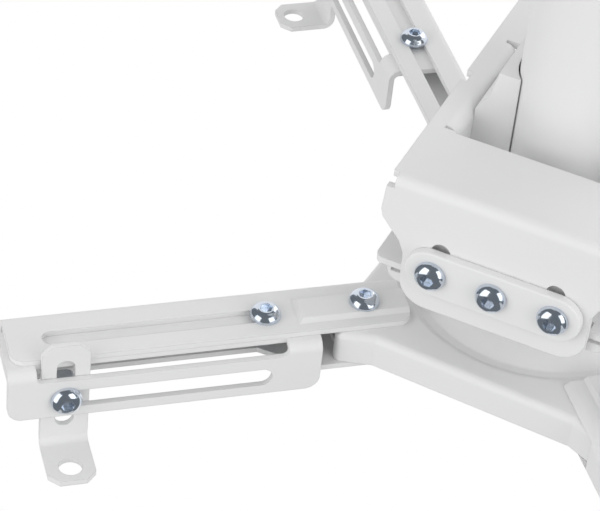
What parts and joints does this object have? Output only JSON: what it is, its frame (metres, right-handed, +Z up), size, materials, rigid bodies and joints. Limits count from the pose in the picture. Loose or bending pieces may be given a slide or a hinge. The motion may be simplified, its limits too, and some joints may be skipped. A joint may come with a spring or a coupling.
{
  "type": "projector ceiling mount",
  "caption": "White steel ceiling mount for a projector: round pole, tilting yoke, swivelling base and slotted telescopic arms with height-adjustable feet.",
  "frame": {"origin": "on the ceiling face, at the centre of the ceiling screws' circle and on the pole's axis", "axes": "+Z up into the ceiling, +X along the yoke's front face, +Y from the yoke's front face to its back"},
  "size_m": [0.3064, 0.3254, 0.276],
  "materials": {
    "white_coat": "fine satin powder coat",
    "screw_zinc": "bright zinc plating with a faint blue tint",
    "nut_zinc": "zinc plated"
  },
  "bodies": {
    "hanger": {"ceiling_plate": "white_coat", "pole": "white_coat", "pole_shoe": "white_coat", "shoe_bolts": "screw_zinc", "shoe_nuts": "nut_zinc", "tilt_yoke": "white_coat"},
    "swivel_head": {"clamp_plate_front": "white_coat", "clamp_plate_back": "white_coat", "tilt_screws_front": "screw_zinc", "tilt_screws_back": "screw_zinc", "tilt_nuts_front": "nut_zinc", "tilt_nuts_back": "nut_zinc", "swivel_bracket": "white_coat", "swivel_washer": "nut_zinc", "swivel_bolt": "screw_zinc", "swivel_nut": "nut_zinc"},
    "spider": {"base_lid": "white_coat", "base_floor": "white_coat", "pivot_screws": "screw_zinc", "pivot_nuts": "nut_zinc"},
    "arm_1": {"arm_1": "white_coat"},
    "rail_1": {"rail_1": "white_coat", "slide_screw_1": "screw_zinc", "slide_nut_1": "nut_zinc"},
    "foot_clamp_1": {"foot_screw_1": "screw_zinc", "foot_nut_1": "nut_zinc"},
    "foot_1": {"foot_1": "white_coat"},
    "arm_2": {"arm_2": "white_coat"},
    "rail_2": {"rail_2": "white_coat", "slide_screw_2": "screw_zinc", "slide_nut_2": "nut_zinc"},
    "foot_clamp_2": {"foot_screw_2": "screw_zinc", "foot_nut_2": "nut_zinc"},
    "foot_2": {"foot_2": "white_coat"},
    "arm_3": {"arm_3": "white_coat"},
    "rail_3": {"rail_3": "white_coat", "slide_screw_3": "screw_zinc", "slide_nut_3": "nut_zinc"},
    "foot_clamp_3": {"foot_screw_3": "screw_zinc", "foot_nut_3": "nut_zinc"},
    "foot_3": {"foot_3": "white_coat"},
    "arm_4": {"arm_4": "white_coat"},
    "rail_4": {"rail_4": "white_coat", "slide_screw_4": "screw_zinc", "slide_nut_4": "nut_zinc"},
    "foot_clamp_4": {"foot_screw_4": "screw_zinc", "foot_nut_4": "nut_zinc"},
    "foot_4": {"foot_4": "white_coat"}
  },
  "joints": [
    {"name": "tilt", "type": "hinge", "parent": "hanger", "child": "swivel_head", "pos_m": [0, 0, -0.2], "axis": [0, 1, 0], "range_deg": [-20, 20]},
    {"name": "swivel", "type": "hinge", "parent": "swivel_head", "child": "spider", "pos_m": [0, 0, -0.2085], "axis": [0, 0, 1], "continuous": true},
    {"name": "arm_pivot_1", "type": "hinge", "parent": "spider", "child": "arm_1", "pos_m": [-0.04812, -0.04378, -0.2402], "axis": [0, 0, 1], "range_deg": [-45, 45]},
    {"name": "rail_slide_1", "type": "slide", "parent": "arm_1", "child": "rail_1", "axis": [-0.7738, -0.6334, 0], "range_m": [0, 0.072]},
    {"name": "foot_run_1", "type": "slide", "parent": "rail_1", "child": "foot_clamp_1", "axis": [-0.7738, -0.6334, 0], "range_m": [-0.0655, 0]},
    {"name": "foot_height_1", "type": "slide", "parent": "foot_clamp_1", "child": "foot_1", "axis": [0, 0, 1], "range_m": [-0.009, 0.009]},
    {"name": "arm_pivot_2", "type": "hinge", "parent": "spider", "child": "arm_2", "pos_m": [-0.04378, 0.04812, -0.2402], "axis": [0, 0, 1], "range_deg": [-45, 45]},
    {"name": "rail_slide_2", "type": "slide", "parent": "arm_2", "child": "rail_2", "axis": [-0.6494, 0.7604, 0], "range_m": [-0.042, 0.03]},
    {"name": "foot_run_2", "type": "slide", "parent": "rail_2", "child": "foot_clamp_2", "axis": [-0.6494, 0.7604, 0], "range_m": [-0.0655, 0]},
    {"name": "foot_height_2", "type": "slide", "parent": "foot_clamp_2", "child": "foot_2", "axis": [0, 0, 1], "range_m": [-0.009, 0.009]},
    {"name": "arm_pivot_3", "type": "hinge", "parent": "spider", "child": "arm_3", "pos_m": [0.04812, 0.04378, -0.2402], "axis": [0, 0, 1], "range_deg": [-45, 45]},
    {"name": "rail_slide_3", "type": "slide", "parent": "arm_3", "child": "rail_3", "axis": [0.6947, 0.7193, 0], "range_m": [0, 0.072]},
    {"name": "foot_run_3", "type": "slide", "parent": "rail_3", "child": "foot_clamp_3", "axis": [0.6947, 0.7193, 0], "range_m": [-0.0655, 0]},
    {"name": "foot_height_3", "type": "slide", "parent": "foot_clamp_3", "child": "foot_3", "axis": [0, 0, 1], "range_m": [-0.009, 0.009]},
    {"name": "arm_pivot_4", "type": "hinge", "parent": "spider", "child": "arm_4", "pos_m": [0.04378, -0.04812, -0.2402], "axis": [0, 0, 1], "range_deg": [-45, 45]},
    {"name": "rail_slide_4", "type": "slide", "parent": "arm_4", "child": "rail_4", "axis": [0.6494, -0.7604, 0], "range_m": [0, 0.072]},
    {"name": "foot_run_4", "type": "slide", "parent": "rail_4", "child": "foot_clamp_4", "axis": [0.6494, -0.7604, 0], "range_m": [-0.0655, 0]},
    {"name": "foot_height_4", "type": "slide", "parent": "foot_clamp_4", "child": "foot_4", "axis": [0, 0, 1], "range_m": [-0.009, 0.009]}
  ]
}
